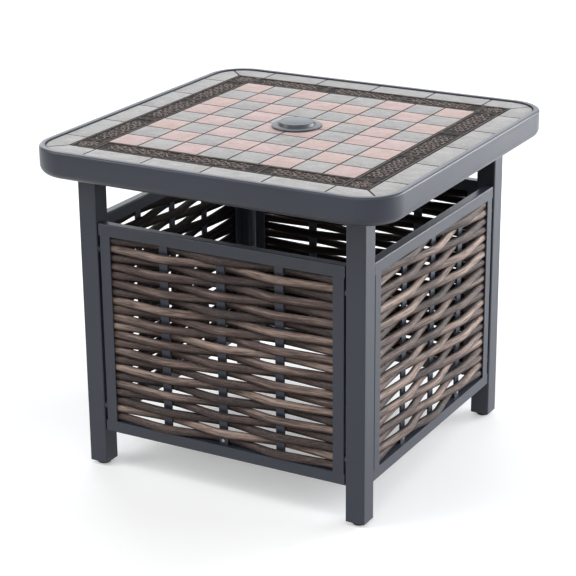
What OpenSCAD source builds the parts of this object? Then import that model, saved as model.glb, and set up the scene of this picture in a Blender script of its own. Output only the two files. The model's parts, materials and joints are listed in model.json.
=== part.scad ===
// Outdoor side table for an umbrella: a square tiled top in a metal rim, four square tube legs on
// levelling feet, four woven reed panels, and a round plug that lifts out of the umbrella hole.
// Origin: centre of the footprint, on the floor. +Z is up, -Y is the front, +X is the right side.
// All lengths are in millimetres.

/* [Top] */
// Overall width and depth of the square top
top_w = 576; // [556:1:620]
// Height of the rim's top face above the floor
table_h = 505; // [490:1:560]
// Depth of the rim, top face to bottom edge
rim_h = 42; // [40:1:48]
// Width of the rim's flat top face
rim_face = 8; // [7:0.5:10]
// Plan radius of the rim's corners
corner_r = 60; // [56:1:80]
// Radius of the rim's upper outer edge
rim_top_r = 4; // [2.5:0.5:5]
// Radius of the rim's rolled lower edge
rim_roll_r = 14; // [10:0.5:16]
// Sheet thickness of the rim
rim_skin = 2; // [1.5:0.1:2.2]
// Height of the rim above the tiles
rim_lip = 2; // [1:0.1:3]
// How far the rim's inner ledge reaches under the board
ledge_w = 14; // [10:1:15]

/* [Tiles] */
// Width of the light border, joints included
border_w = 40; // [34:1:46]
// Width of the dark relief band, joints included
relief_w = 40; // [36:1:44]
// Length of a mitred corner tile's inner edge
corner_tile = 47; // [40:1:56]
// Width of the joints between tiles
joint_w = 2.4; // [1.6:0.1:3.2]
// Thickness of the tiles
tile_t = 5; // [4:0.5:8]
// Width of the raised edge round a relief tile
relief_edge = 2.6; // [1.5:0.1:4]
// Depth of the carved field inside that edge
relief_sink = 1.1; // [0.5:0.1:1.8]
// Thickness of the bed of grout under the tiles
bed_t = 1; // [0.8:0.1:2]
// How far the grout lies below the tiles' faces
grout_drop = 1; // [0.5:0.1:1.5]
// Thickness of the board that carries the tiles
board_t = 8; // [6:0.5:10]

/* [Umbrella hole] */
// Bore that the umbrella pole passes through
pole_bore_d = 42; // [38:0.5:44]
// Wider bore above it, which holds the plug's spigot
plug_bore_d = 46; // [45:0.5:48]
// Outside diameter of the sleeve
sleeve_d = 51; // [50:0.5:53]
// Length of the sleeve below its flange
sleeve_len = 35; // [32:1:38]
// Depth of the wider bore below the tiles' faces
plug_bore_depth = 15; // [14:0.5:17]
// Diameter of the sleeve's flange
flange_d = 67; // [62:0.5:69]
// Thickness of the sleeve's flange
flange_t = 1.5; // [1:0.1:2]
// Diameter of the plug's lower disc
plug_d = 75; // [74:0.5:80]
// Diameter of the plug's raised centre
plug_top_d = 53; // [46:0.5:60]
// Height of the lower disc above the tiles
plug_disc_h = 3.5; // [3.2:0.1:4.5]
// Height of the raised centre above the lower disc
plug_step_h = 4.5; // [3:0.1:6]
// How much the raised centre's radius narrows to its top
plug_taper = 1.5; // [0.5:0.1:3]
// Fall of the lower disc's face out to its edge
plug_slope = 0.6; // [0.2:0.1:0.9]

/* [Top frame] */
// Height of the steel bars under the board
bar_h = 20; // [17:1:20]
// Width of the two bars beside the umbrella hole
centre_bar_w = 20; // [16:1:24]
// Distance of those bars from the centre
centre_bar_x = 60; // [54:1:90]

/* [Legs and feet] */
// Distance from the rim's outer face in to the legs' outer faces
leg_inset = 54.5; // [48:0.5:58]
// Side of the square leg tube
leg_w = 30; // [29:0.5:34]
// Wall of the tubes
tube_wall = 1.5; // [1.2:0.1:2]
// Outer edge radius of the tubes
tube_r = 2; // [1.8:0.1:3]
// Height of a foot pad, at rest under its leg
foot_h = 6; // [5:0.5:10]
// Diameter of a foot pad
foot_d = 20; // [18:0.5:26]
// Diameter of the foot's threaded stud
stud_d = 7.9; // [7.4:0.1:8.4]
// Length of stud inside the leg at rest
stud_in = 24; // [18:1:26]
// Height of the plug in the leg's lower end
leg_plug_h = 28; // [27:1:34]

/* [Panels] */
// Height of the panels' lower edge above the floor
panel_z = 60; // [50:1:75]
// Height of a panel
panel_h = 328; // [315:1:334]
// Face width of the panel frame's tubes
frame_w = 18; // [16:0.5:22]
// Depth of the panel frame's tubes
frame_d = 15; // [14.6:0.1:16.5]
// How far the panels lie behind the legs' outer faces
set_back = 1.5; // [0.5:0.1:3]
// Gap between a rail's end and the leg
rail_gap = 2; // [1:0.1:2.4]
// Gap between a stile and the leg
stile_gap = 3.2; // [2.6:0.1:5]
// Width of the flat stakes that the reeds go round
stake_w = 14.5; // [10:0.5:18]
// Thickness of the stakes
stake_t = 3; // [2:0.1:4]
// Distance between the stakes' centres
stake_pitch = 95; // [85:1:100]
// Thickness of a reed, front to back
reed_d = 11; // [9:0.1:11.4]
// Number of reeds in a panel
reed_count = 22; // [20:2:24]

/* [Hidden] */
$fn = 64;

// Colours
slate = [0.29, 0.31, 0.35];
near_black = [0.06, 0.06, 0.07];
zinc = [0.72, 0.73, 0.74];
reed_brown = [0.42, 0.33, 0.28];
tile_light = [0.77, 0.77, 0.75];
tile_grey = [0.72, 0.73, 0.72];
tile_pink = [0.86, 0.76, 0.73];
tile_dark = [0.33, 0.30, 0.29];
grout_grey = [0.42, 0.39, 0.38];
board_grey = [0.60, 0.60, 0.58];

// Clearances
eps = 0.01;              // overlap that keeps a cut or a joint of one solid clean
board_gap = 0.5;         // board to rim
grout_gap = 0.5;         // grout to rim
plug_gap = 0.4;          // plug's spigot to sleeve
plug_float = 0.3;        // plug's edge above the tiles
insert_gap = 0.2;        // inserts and plugs to the inside of the leg
stud_gap = 0.05;         // stud to the leg plug's thread, a running fit
stud_turn_gap = 0.06;    // stud to the pad that it turns in
reed_gap = 0.2;          // reed to stake
weave_gap = 0.3;         // reed to reed where they cross
bolt_gap = 0.2;          // bolt to clearance hole
bar_end_gap = 1;         // frame bar to the rim's inner wall

// Levels
rim_z = table_h - rim_h;
tile_top = table_h - rim_lip;
tile_z = tile_top - tile_t;
bed_z = tile_z - bed_t;
board_z = bed_z - board_t;
ledge_z = board_z - rim_skin;
bar_z = ledge_z - bar_h;
leg_top = bar_z;

// Plan sizes
half = top_w / 2;
field_half = half - rim_face;
field_r = corner_r - rim_face;
grid_n = 8;
relief_half = field_half - border_w;
grid_half = relief_half - relief_w;
tile_pitch = 2 * grid_half / grid_n;
relief_n = 3;
border_n = 4;
border_pitch = 2 * (relief_half - corner_tile) / border_n;
hole_r = sleeve_d / 2 + 0.5;
leg_out = half - leg_inset;
leg_c = leg_out - leg_w / 2;
leg_in = leg_out - leg_w;
bar_half_len = field_half - bar_end_gap;
bar_w = leg_w;

// Fasteners
m6_r = 3;
m8_r = 4;
head_h = 3.3;
head_r = 5;
nut_flange_t = 0.8;
nut_flange_r = 6.4;
nut_body_r = 4.5;
nut_len = 10;
panel_bolt_len = 14;
leg_bolt_head_r = 6.5;
leg_bolt_head_h = 5;
leg_bolt_len = 28;
insert_h = 30;
screw_head_r = 2.6;
screw_head_h = 1.6;
screw_r = 1.25;
screw_in_reed = 5;
stud_head_d = 12;
stud_head_h = 2;
stud_head_z = 2;

// Panels
panel_y = -(leg_out - set_back - frame_d / 2);
rail_half = leg_in - rail_gap;
stile_out = leg_in - stile_gap;
stile_in = stile_out - frame_w;
open_z0 = panel_z + frame_w;
open_z1 = panel_z + panel_h - frame_w;
reed_r = reed_d / 2;
reed_sides = 8;
bend_half = stake_w / 2 + 5;
reed_settle = 16;
reed_settle_share = 0.16;
reed_pitch = (open_z1 - open_z0) / reed_count;
reed_half_h = (reed_pitch - weave_gap) / 2;
sway = stake_t / 2 + reed_r + reed_gap;
reed_end = 10;
bolt_inset = 22;
bolt_zs = [open_z0 + bolt_inset, open_z1 - bolt_inset];
side_turns = [0, 90, 180, 270];

// The four corners, anticlockwise from the front left, as signs of x and y
corner_signs = [[-1, -1], [1, -1], [1, 1], [-1, 1]];

// Outlines

// A rectangle from corner a to corner b with its own radius at each corner,
// in the order lower left, lower right, upper right, upper left.
module soft_rect(a, b, radii) {
    corners = [a, [b[0], a[1]], b, [a[0], b[1]]];
    inward = [[1, 1], [-1, 1], [-1, -1], [1, -1]];
    difference() {
        translate(a) square(b - a);
        for (i = [0:3]) if (radii[i] > 0)
            translate(corners[i] + inward[i] * (radii[i] / 2 - eps / 2))
                square(radii[i] + eps, center = true);
    }
    for (i = [0:3]) if (radii[i] > 0)
        intersection() {
            translate(corners[i] + inward[i] * radii[i]) circle(radii[i]);
            translate(corners[i] + inward[i] * radii[i] / 2)
                square(radii[i] + 2 * eps, center = true);
        }
}

// A square of the given half width with equal corner radii
module round_square(h, r) {
    square([2 * (h - r), 2 * h], center = true);
    square([2 * h, 2 * (h - r)], center = true);
    for (s = corner_signs) translate(s * (h - r)) circle(r);
}

// Section of a rectangular tube, w wide and d deep, with its two lower edges rounded by low_r
// and its two upper ones by high_r
module tube_section(w, d, low_r = tube_r, high_r = tube_r) {
    difference() {
        soft_rect([-w / 2, -d / 2], [w / 2, d / 2], [low_r, low_r, high_r, high_r]);
        square([w - 2 * tube_wall, d - 2 * tube_wall], center = true);
    }
}

module ring(outer_r, inner_r, h) {
    difference() {
        cylinder(r = outer_r, h = h);
        translate([0, 0, -1]) cylinder(r = inner_r, h = h + 2);
    }
}

// Top

// The rim's section: x runs outward from the corner's centre, y is height.
module rim_section() {
    lip_in = corner_r - rim_face - rim_skin - ledge_w;
    wall_in = corner_r - rim_face;
    difference() {
        soft_rect([lip_in, rim_z], [corner_r, table_h], [0, rim_roll_r, rim_top_r, 0]);
        soft_rect([lip_in - 1, rim_z + rim_skin], [corner_r - rim_skin, table_h - rim_skin],
            [0, rim_roll_r - rim_skin, rim_top_r - rim_skin, 0]);
        translate([lip_in - 1, rim_z + rim_skin]) square([rim_face + ledge_w / 2, rim_h]);
        translate([lip_in - 1, table_h - 2 * rim_skin]) square([wall_in + 1 - lip_in + rim_skin / 2, rim_h]);
    }
    soft_rect([wall_in, ledge_z], [wall_in + rim_skin, table_h], [0, 0, 0, rim_skin / 2]);
    translate([wall_in - ledge_w, ledge_z]) square([ledge_w + rim_skin, rim_skin]);
}

module top_rim() {
    straight = half - corner_r;
    color(slate) for (turn = side_turns) rotate(turn) {
        translate([straight, straight, 0]) rotate_extrude(angle = 90) rim_section();
        translate([straight, straight, 0]) rotate([90, 0, 0]) linear_extrude(2 * straight) rim_section();
    }
}

module tile_board() {
    color(board_grey) translate([0, 0, board_z]) difference() {
        linear_extrude(board_t) round_square(field_half - board_gap, field_r - board_gap);
        translate([0, 0, -1]) cylinder(r = hole_r, h = board_t + 2);
    }
}

// Tiles

// The small tiles make a checkerboard that is mirrored about both centre lines,
// apart from a half row and a single tile that were laid the other way round.
function laid_other_way(row, col) = (row == 3 && col < 4) || (row == 4 && col == 7);
function is_pink(row, col) =
    let (even = (min(row, grid_n - 1 - row) + min(col, grid_n - 1 - col)) % 2 == 0)
    even != laid_other_way(row, col);

module small_tile_2d(row, col) {
    x = (col - (grid_n - 1) / 2) * tile_pitch;
    y = ((grid_n - 1) / 2 - row) * tile_pitch;
    beside_hole = abs(x) < tile_pitch && abs(y) < tile_pitch;
    difference() {
        translate([x, y]) square(tile_pitch - joint_w, center = true);
        if (beside_hole) circle(hole_r);
    }
}

module small_tiles_2d(pink) {
    for (row = [0:grid_n - 1], col = [0:grid_n - 1]) if (is_pink(row, col) == pink)
        small_tile_2d(row, col);
}

// Outlines of the relief tiles, drawn in by inset all round
module relief_tiles_2d(inset) {
    len = 2 * grid_half / relief_n;
    mid = grid_half + relief_w / 2;
    for (turn = side_turns) rotate(turn) {
        for (i = [0:relief_n - 1]) translate([(i - (relief_n - 1) / 2) * len, -mid])
            square([len - joint_w - 2 * inset, relief_w - joint_w - 2 * inset], center = true);
        translate([mid, -mid]) square(relief_w - joint_w - 2 * inset, center = true);
    }
}

module border_tiles_2d() {
    y_in = -relief_half - joint_w / 2;
    y_out = -field_half + joint_w;
    mitre = joint_w / 2 * sqrt(2);
    x_joint = border_n / 2 * border_pitch + joint_w / 2;
    for (turn = side_turns) rotate(turn) {
        for (i = [0:border_n - 1]) translate([(i - (border_n - 1) / 2) * border_pitch, 0])
            translate([-(border_pitch - joint_w) / 2, y_out]) square([border_pitch - joint_w, y_in - y_out]);
        for (side = [-1, 1]) intersection() {
            scale_x(side) polygon([[x_joint, y_in], [-y_in - mitre, y_in],
                [-y_out - mitre, y_out], [x_joint, y_out]]);
            round_square(field_half - joint_w, field_r - joint_w);
        }
    }
}

// Mirrors what it holds across the plane x = 0 when side is -1.
module scale_x(side) {
    mirror([side < 0 ? 1 : 0, 0, 0]) children();
}

module border_tiles() {
    color(tile_light) translate([0, 0, tile_z]) linear_extrude(tile_t) border_tiles_2d();
}

module relief_tiles() {
    color(tile_dark) difference() {
        translate([0, 0, tile_z]) linear_extrude(tile_t) relief_tiles_2d(0);
        translate([0, 0, tile_top - relief_sink]) linear_extrude(relief_sink + 1)
            relief_tiles_2d(relief_edge);
    }
}

module pink_tiles() {
    color(tile_pink) translate([0, 0, tile_z]) linear_extrude(tile_t) small_tiles_2d(true);
}

module grey_tiles() {
    color(tile_grey) translate([0, 0, tile_z]) linear_extrude(tile_t) small_tiles_2d(false);
}

module grout() {
    color(grout_grey) {
        translate([0, 0, bed_z]) linear_extrude(bed_t) difference() {
            round_square(field_half - grout_gap, field_r - grout_gap);
            circle(hole_r);
        }
        translate([0, 0, tile_z]) linear_extrude(tile_t - grout_drop) difference() {
            round_square(field_half - grout_gap, field_r - grout_gap);
            circle(hole_r);
            border_tiles_2d();
            relief_tiles_2d(0);
            small_tiles_2d(true);
            small_tiles_2d(false);
        }
    }
}

// Umbrella hole

module hole_sleeve() {
    color(near_black) difference() {
        union() {
            translate([0, 0, tile_top - sleeve_len]) cylinder(d = sleeve_d, h = sleeve_len + flange_t);
            translate([0, 0, tile_top]) cylinder(d = flange_d, h = flange_t);
        }
        translate([0, 0, tile_top - sleeve_len - 1]) cylinder(d = pole_bore_d, h = sleeve_len + 5);
        translate([0, 0, tile_top - plug_bore_depth]) cylinder(d = plug_bore_d, h = plug_bore_depth + 5);
    }
}

// Lock ring on the sleeve, under the board, with grip notches round it
module sleeve_nut() {
    nut_h = 8;
    nut_r = sleeve_d / 2 + 8;
    notches = 12;
    color(near_black) translate([0, 0, board_z - nut_h]) difference() {
        cylinder(r = nut_r, h = nut_h);
        translate([0, 0, -1]) cylinder(d = sleeve_d + 0.2, h = nut_h + 2);
        for (i = [0:notches - 1]) rotate(i * 360 / notches)
            translate([nut_r + 1, 0, -1]) cylinder(r = 2.5, h = nut_h + 2);
    }
}

// Section of the plug: x is the radius, y is height above the tiles' faces.
module plug_section() {
    edge_r = 1.2;
    disc_r = plug_d / 2;
    edge_h = plug_disc_h - plug_slope;
    centre_r = plug_top_d / 2;
    groove_w = 1.4;
    groove_t = 0.6;
    spigot_r = (plug_bore_d - 2 * plug_gap) / 2;
    spigot_wall = 2;
    spigot_len = plug_bore_depth - 2;
    top = plug_disc_h + plug_step_h;
    shell = 2.2;
    difference() {
        union() {
            polygon([[0, flange_t], [disc_r - edge_r, flange_t], [disc_r - edge_r, edge_h],
                [centre_r + groove_w, plug_disc_h], [centre_r + groove_w, plug_disc_h - groove_t],
                [centre_r, plug_disc_h - groove_t], [centre_r - plug_taper, top - edge_r],
                [centre_r - plug_taper - edge_r, top], [0, top]]);
            soft_rect([flange_d / 2 + plug_gap, plug_float], [disc_r, edge_h], [0, 0, edge_r, 0]);
            translate([0, -spigot_len]) square([spigot_r, spigot_len + top / 2]);
        }
        translate([-1, -spigot_len - 1]) square([spigot_r - spigot_wall + 1, spigot_len + 1 + top - shell]);
    }
}

module hole_plug() {
    color(slate) translate([0, 0, tile_top]) rotate_extrude() plug_section();
}

// Top frame

// A tube bar, length len along X, its underside at z = 0
module bar(len, w) {
    translate([-len / 2, 0, bar_h / 2]) rotate([90, 0, 90]) linear_extrude(len) tube_section(w, bar_h);
}

// The long bars lie over the legs. A hole in each wall takes the leg bolt and its head.
module long_bar(side) {
    color(slate) difference() {
        translate([side * leg_c, 0, bar_z]) rotate(90) bar(2 * bar_half_len, bar_w);
        for (y = [-leg_c, leg_c]) translate([side * leg_c, y, bar_z]) {
            translate([0, 0, -1]) cylinder(r = m8_r + bolt_gap, h = bar_h / 2);
            translate([0, 0, bar_h / 2]) cylinder(r = leg_bolt_head_r + 1.5, h = bar_h);
        }
    }
}

module short_bar(side) {
    color(slate) translate([0, side * leg_c, bar_z]) bar(2 * leg_in, bar_w);
}

module centre_bar(side) {
    color(slate) translate([side * centre_bar_x, 0, bar_z]) rotate(90) bar(2 * leg_in, centre_bar_w);
}

// Foam strips that fill the gap between the bars and the board
module board_tape() {
    tape_w = 12;
    tape_len = 2 * leg_in - 40;
    color(near_black) translate([0, 0, ledge_z]) {
        for (x = [-centre_bar_x, centre_bar_x]) translate([x - tape_w / 2, -tape_len / 2, 0])
            cube([tape_w, tape_len, rim_skin]);
        for (y = [-leg_c, leg_c]) translate([-tape_len / 2, y - tape_w / 2, 0])
            cube([tape_len, tape_w, rim_skin]);
    }
}

// Legs

// Holes for the rivet nuts: one pair in each of the two faces that meet a panel
module leg_nut_holes(s) {
    y_panel = -panel_y;
    for (z = bolt_zs) {
        translate([s[0] * leg_in, s[1] * y_panel, z]) rotate([0, s[0] * 90, 0])
            translate([0, 0, -1]) cylinder(r = nut_body_r + bolt_gap, h = 1 + 2 * tube_wall);
        translate([s[0] * y_panel, s[1] * leg_in, z]) rotate([-s[1] * 90, 0, 0])
            translate([0, 0, -1]) cylinder(r = nut_body_r + bolt_gap, h = 1 + 2 * tube_wall);
    }
}

module leg(s) {
    color(slate) difference() {
        translate([s[0] * leg_c, s[1] * leg_c, foot_h])
            linear_extrude(leg_top - foot_h) tube_section(leg_w, leg_w);
        leg_nut_holes(s);
    }
}

// A square plug that fills the inside of a leg tube, with a threaded bore
module leg_filler(s, z, h, bore_r) {
    inner = leg_w - 2 * tube_wall - 2 * insert_gap;
    translate([s[0] * leg_c, s[1] * leg_c, z]) difference() {
        linear_extrude(h) square(inner, center = true);
        translate([0, 0, -1]) cylinder(r = bore_r, h = h + 2);
    }
}

module leg_top_inserts() {
    color(zinc) for (s = corner_signs) leg_filler(s, leg_top - insert_h, insert_h, m8_r);
}

module leg_plugs() {
    color(near_black) for (s = corner_signs) leg_filler(s, foot_h, leg_plug_h, stud_d / 2 + stud_gap);
}

// Socket head bolts, their heads inside the long bars
module leg_bolts() {
    color(zinc) for (s = corner_signs) translate([s[0] * leg_c, s[1] * leg_c, bar_z + tube_wall])
        difference() {
            union() {
                translate([0, 0, -leg_bolt_len]) cylinder(r = m8_r - 0.05, h = leg_bolt_len + 1);
                cylinder(r = leg_bolt_head_r, h = leg_bolt_head_h);
            }
            translate([0, 0, leg_bolt_head_h - 3]) cylinder(r = 3.4, h = 4, $fn = 6);
        }
}

// Feet

module foot_stud(s) {
    color(zinc) translate([s[0] * leg_c, s[1] * leg_c, 0]) {
        translate([0, 0, stud_head_z]) cylinder(d = stud_head_d, h = stud_head_h);
        translate([0, 0, stud_head_z]) cylinder(d = stud_d, h = foot_h - stud_head_z + stud_in);
    }
}

module foot_pad(s) {
    edge_r = 1.5;
    color(near_black) translate([s[0] * leg_c, s[1] * leg_c, 0]) difference() {
        rotate_extrude() soft_rect([0, 0], [foot_d / 2, foot_h], [0, edge_r, edge_r / 2, 0]);
        translate([0, 0, stud_head_z]) cylinder(d = stud_head_d + 2 * stud_turn_gap, h = stud_head_h + 2 * stud_turn_gap);
        translate([0, 0, stud_head_z]) cylinder(d = stud_d + 2 * stud_turn_gap, h = foot_h);
    }
}

// Panels: each is drawn as the front one, then turned to its side.

module at_side(turn) {
    rotate(turn) translate([0, panel_y, 0]) children();
}

// A rail's edges are square on the side where the stiles are welded to it, so their faces run on.
module rail(turn, z) {
    upper = z > panel_z;
    color(slate) at_side(turn) translate([-rail_half, 0, z + frame_w / 2])
        rotate([90, 0, 90]) linear_extrude(2 * rail_half)
            tube_section(frame_d, frame_w, upper ? 0 : tube_r, upper ? tube_r : 0);
}

// The stiles are channels, open towards the reeds, whose ends they hold.
module stile(turn, side) {
    color(slate) at_side(turn) scale_x(side) difference() {
        translate([stile_in, -frame_d / 2, open_z0]) linear_extrude(open_z1 - open_z0) difference() {
            soft_rect([0, 0], [frame_w, frame_d], [tube_r / 2, tube_r, tube_r, tube_r / 2]);
            translate([-1, tube_wall]) square([frame_w - tube_wall + 1, frame_d - 2 * tube_wall]);
        }
        for (z = bolt_zs) translate([stile_out - 2 * tube_wall, 0, z]) rotate([0, 90, 0])
            cylinder(r = m6_r + bolt_gap, h = 4 * tube_wall);
    }
}

// Stakes that pass in front of the last reed are fixed to it with a small screw.
function tacked(turn, i) = (turn % 180 == 0) == (i == 0);

module stakes(turn) {
    color(slate) at_side(turn) for (i = [-1:1]) translate([i * stake_pitch, 0, open_z0]) difference() {
        linear_extrude(open_z1 - open_z0) soft_rect([-stake_w / 2, -stake_t / 2],
            [stake_w / 2, stake_t / 2], [for (k = [0:3]) stake_t / 3]);
        if (tacked(turn, i)) translate([0, 0, reed_pitch / 2]) rotate([90, 0, 0])
            translate([0, 0, -stake_t]) cylinder(r = screw_r + 0.05, h = 2 * stake_t);
    }
}

module stake_screws() {
    color(zinc) for (turn = side_turns) at_side(turn) for (i = [-1:1]) if (tacked(turn, i))
        translate([i * stake_pitch, -stake_t / 2, open_z0 + reed_pitch / 2]) rotate([90, 0, 0]) {
            rotate_extrude() soft_rect([0, 0], [screw_head_r, screw_head_h], [0, 0, screw_head_h / 2, 0]);
            translate([0, 0, -stake_t - screw_in_reed])
                cylinder(r = screw_r, h = stake_t + screw_in_reed + screw_head_h / 2);
        }
}

// Reeds: a reed lies flat against the back of one stake and the front of the next, runs straight
// between them, and comes back to the panel's middle plane where the stiles hold its ends.

// Stations along a reed: distance from the panel's centre and share of the full sway
half_stations = [
    [bend_half, 1],
    [stake_pitch - bend_half, -1],
    [stake_pitch + bend_half, -1],
    [stile_in - reed_settle, -reed_settle_share],
    [stile_in + reed_end, 0]
];
stations = concat(
    [for (i = [len(half_stations) - 1:-1:0]) [-half_stations[i][0], half_stations[i][1]]],
    half_stations
);

// One reed through the stations, a little taller than it is thick, with reed_sides faces round it
module reed() {
    n = len(stations);
    step = 360 / reed_sides;
    points = [for (st = stations, j = [0:reed_sides - 1])
        [st[0], st[1] * sway + reed_r * cos(j * step), reed_half_h * sin(j * step)]];
    sides = [for (i = [0:n - 2], j = [0:reed_sides - 1])
        let (b = i * reed_sides, k = (j + 1) % reed_sides)
        [b + j, b + k, b + reed_sides + k, b + reed_sides + j]];
    ends = [[for (j = [reed_sides - 1:-1:0]) j], [for (j = [0:reed_sides - 1]) (n - 1) * reed_sides + j]];
    polyhedron(points = points, faces = concat(sides, ends));
}

module reeds(turn) {
    first_in_front = turn % 180 == 0;
    color(reed_brown) at_side(turn) for (k = [0:reed_count - 1]) {
        in_front = (k % 2 == 0) == first_in_front;
        translate([0, 0, open_z1 - (k + 0.5) * reed_pitch]) difference() {
            mirror([0, in_front ? 1 : 0, 0]) reed();
            if (k == reed_count - 1) for (i = [-1:1]) if (tacked(turn, i))
                translate([i * stake_pitch, 0, 0]) rotate([-90, 0, 0]) cylinder(r = screw_r + 0.05,
                    h = stake_t / 2 + screw_in_reed + 0.5);
        }
    }
}

// Panel fasteners, on the axis of each stile's bolt, which points outward along +X

module at_panel_bolts() {
    for (turn = side_turns) at_side(turn) for (side = [-1, 1], z = bolt_zs)
        scale_x(side) translate([0, 0, z]) rotate([0, 90, 0]) children();
}

module panel_bolts() {
    web = stile_out - tube_wall;
    color(zinc) at_panel_bolts() difference() {
        union() {
            translate([0, 0, web - head_h]) cylinder(r = head_r, h = head_h);
            translate([0, 0, web - 1]) cylinder(r = m6_r - 0.05, h = panel_bolt_len + 1);
        }
        translate([0, 0, web - head_h - 1]) cylinder(r = 2.3, h = 3, $fn = 6);
    }
}

module panel_spacers() {
    color(near_black) at_panel_bolts() translate([0, 0, stile_out])
        ring(nut_flange_r, m6_r + bolt_gap, stile_gap - nut_flange_t);
}

module rivet_nuts() {
    color(zinc) at_panel_bolts() translate([0, 0, leg_in - nut_flange_t]) {
        ring(nut_flange_r, m6_r, nut_flange_t);
        ring(nut_body_r, m6_r, nut_len);
    }
}

top_rim();
tile_board();
grout();
border_tiles();
relief_tiles();
pink_tiles();
grey_tiles();
hole_sleeve();
sleeve_nut();
hole_plug();
long_bar(-1);  // frame_bar_left
long_bar(1);  // frame_bar_right
short_bar(-1);  // frame_bar_front
short_bar(1);  // frame_bar_back
centre_bar(-1);  // centre_bar_left
centre_bar(1);  // centre_bar_right
board_tape();
leg(corner_signs[0]);  // leg_front_left
leg(corner_signs[1]);  // leg_front_right
leg(corner_signs[2]);  // leg_back_right
leg(corner_signs[3]);  // leg_back_left
leg_top_inserts();
leg_bolts();
leg_plugs();
foot_stud(corner_signs[0]);  // foot_stud_front_left
foot_stud(corner_signs[1]);  // foot_stud_front_right
foot_stud(corner_signs[2]);  // foot_stud_back_right
foot_stud(corner_signs[3]);  // foot_stud_back_left
foot_pad(corner_signs[0]);  // foot_pad_front_left
foot_pad(corner_signs[1]);  // foot_pad_front_right
foot_pad(corner_signs[2]);  // foot_pad_back_right
foot_pad(corner_signs[3]);  // foot_pad_back_left
rail(0, open_z1);  // panel_front_top_rail
rail(0, panel_z);  // panel_front_bottom_rail
stile(0, -1);  // panel_front_left_stile
stile(0, 1);  // panel_front_right_stile
stakes(0);  // panel_front_stakes
reeds(0);  // panel_front_reeds
rail(90, open_z1);  // panel_right_top_rail
rail(90, panel_z);  // panel_right_bottom_rail
stile(90, -1);  // panel_right_left_stile
stile(90, 1);  // panel_right_right_stile
stakes(90);  // panel_right_stakes
reeds(90);  // panel_right_reeds
rail(180, open_z1);  // panel_back_top_rail
rail(180, panel_z);  // panel_back_bottom_rail
stile(180, -1);  // panel_back_left_stile
stile(180, 1);  // panel_back_right_stile
stakes(180);  // panel_back_stakes
reeds(180);  // panel_back_reeds
rail(270, open_z1);  // panel_left_top_rail
rail(270, panel_z);  // panel_left_bottom_rail
stile(270, -1);  // panel_left_left_stile
stile(270, 1);  // panel_left_right_stile
stakes(270);  // panel_left_stakes
reeds(270);  // panel_left_reeds
panel_bolts();
panel_spacers();
rivet_nuts();
stake_screws();
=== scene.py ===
"""Looks of a square outdoor side table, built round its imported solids.

The table has a mosaic tile top in a bent metal rim, an umbrella hole with a lift-out plug, four
square tube legs on levelling feet and four side panels woven from thick reeds. The frame is that of
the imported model: +Z up, -Y the front, +X the right side. Lengths are in metres, unless a docstring
says millimetres.
"""

from __future__ import annotations

import json
import logging
import math
import random
from contextlib import contextmanager
from dataclasses import dataclass
from enum import Enum
from typing import Any, Callable, Iterator, Sequence

import bmesh
import bpy
from mathutils import Matrix, Vector

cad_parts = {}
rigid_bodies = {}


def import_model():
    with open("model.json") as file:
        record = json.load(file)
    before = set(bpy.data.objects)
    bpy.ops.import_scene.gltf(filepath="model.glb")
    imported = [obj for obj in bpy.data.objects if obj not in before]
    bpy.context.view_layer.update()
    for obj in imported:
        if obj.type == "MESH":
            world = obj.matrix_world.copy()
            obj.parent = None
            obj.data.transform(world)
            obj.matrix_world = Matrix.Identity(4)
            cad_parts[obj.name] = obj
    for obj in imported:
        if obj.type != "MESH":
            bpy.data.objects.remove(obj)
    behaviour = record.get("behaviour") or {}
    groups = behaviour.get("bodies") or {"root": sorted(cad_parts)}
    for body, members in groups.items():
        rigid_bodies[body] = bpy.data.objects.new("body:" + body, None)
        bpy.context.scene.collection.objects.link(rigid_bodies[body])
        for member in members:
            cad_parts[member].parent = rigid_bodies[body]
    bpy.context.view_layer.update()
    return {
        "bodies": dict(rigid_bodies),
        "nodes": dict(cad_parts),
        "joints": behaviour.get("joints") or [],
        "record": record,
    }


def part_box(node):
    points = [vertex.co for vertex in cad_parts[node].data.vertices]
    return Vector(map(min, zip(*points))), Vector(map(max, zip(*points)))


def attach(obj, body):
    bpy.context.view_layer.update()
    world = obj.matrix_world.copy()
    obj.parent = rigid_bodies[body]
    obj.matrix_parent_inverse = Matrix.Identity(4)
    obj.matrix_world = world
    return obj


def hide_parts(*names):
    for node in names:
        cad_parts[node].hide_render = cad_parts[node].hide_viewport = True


LOG = logging.getLogger("side_table")

# A millimetre, and the distance under which two points are one
MM = 0.001
TOUCH = 1e-6

# The sRGB curve
SRGB_KNEE = 0.04045
SRGB_SLOPE = 12.92
SRGB_LIFT = 0.055
SRGB_POWER = 2.4

Colour = tuple[float, float, float]
Point = tuple[float, float, float]
Plan = tuple[float, float]

# A line of an ornament: its points, and whether it is closed
Line = tuple[Sequence[Plan], bool]
Frame = dict[str, Any]
Socket = bpy.types.NodeSocket
Piece = bpy.types.Object


class Side(Enum):
    """A side of the table, with its turn about +Z from the front in degrees."""

    FRONT = 0
    RIGHT = 90
    BACK = 180
    LEFT = 270

    @property
    def turn(self) -> Matrix:
        """The rotation that takes the front to this side."""
        return Matrix.Rotation(math.radians(self.value), 4, "Z")

    @property
    def label(self) -> str:
        """The side's name in lower case."""
        return self.name.lower()


class Element(Enum):
    """What is selected in a mesh, with the name of the list that holds it."""

    VERT = "verts"
    EDGE = "edges"
    FACE = "faces"


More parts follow.
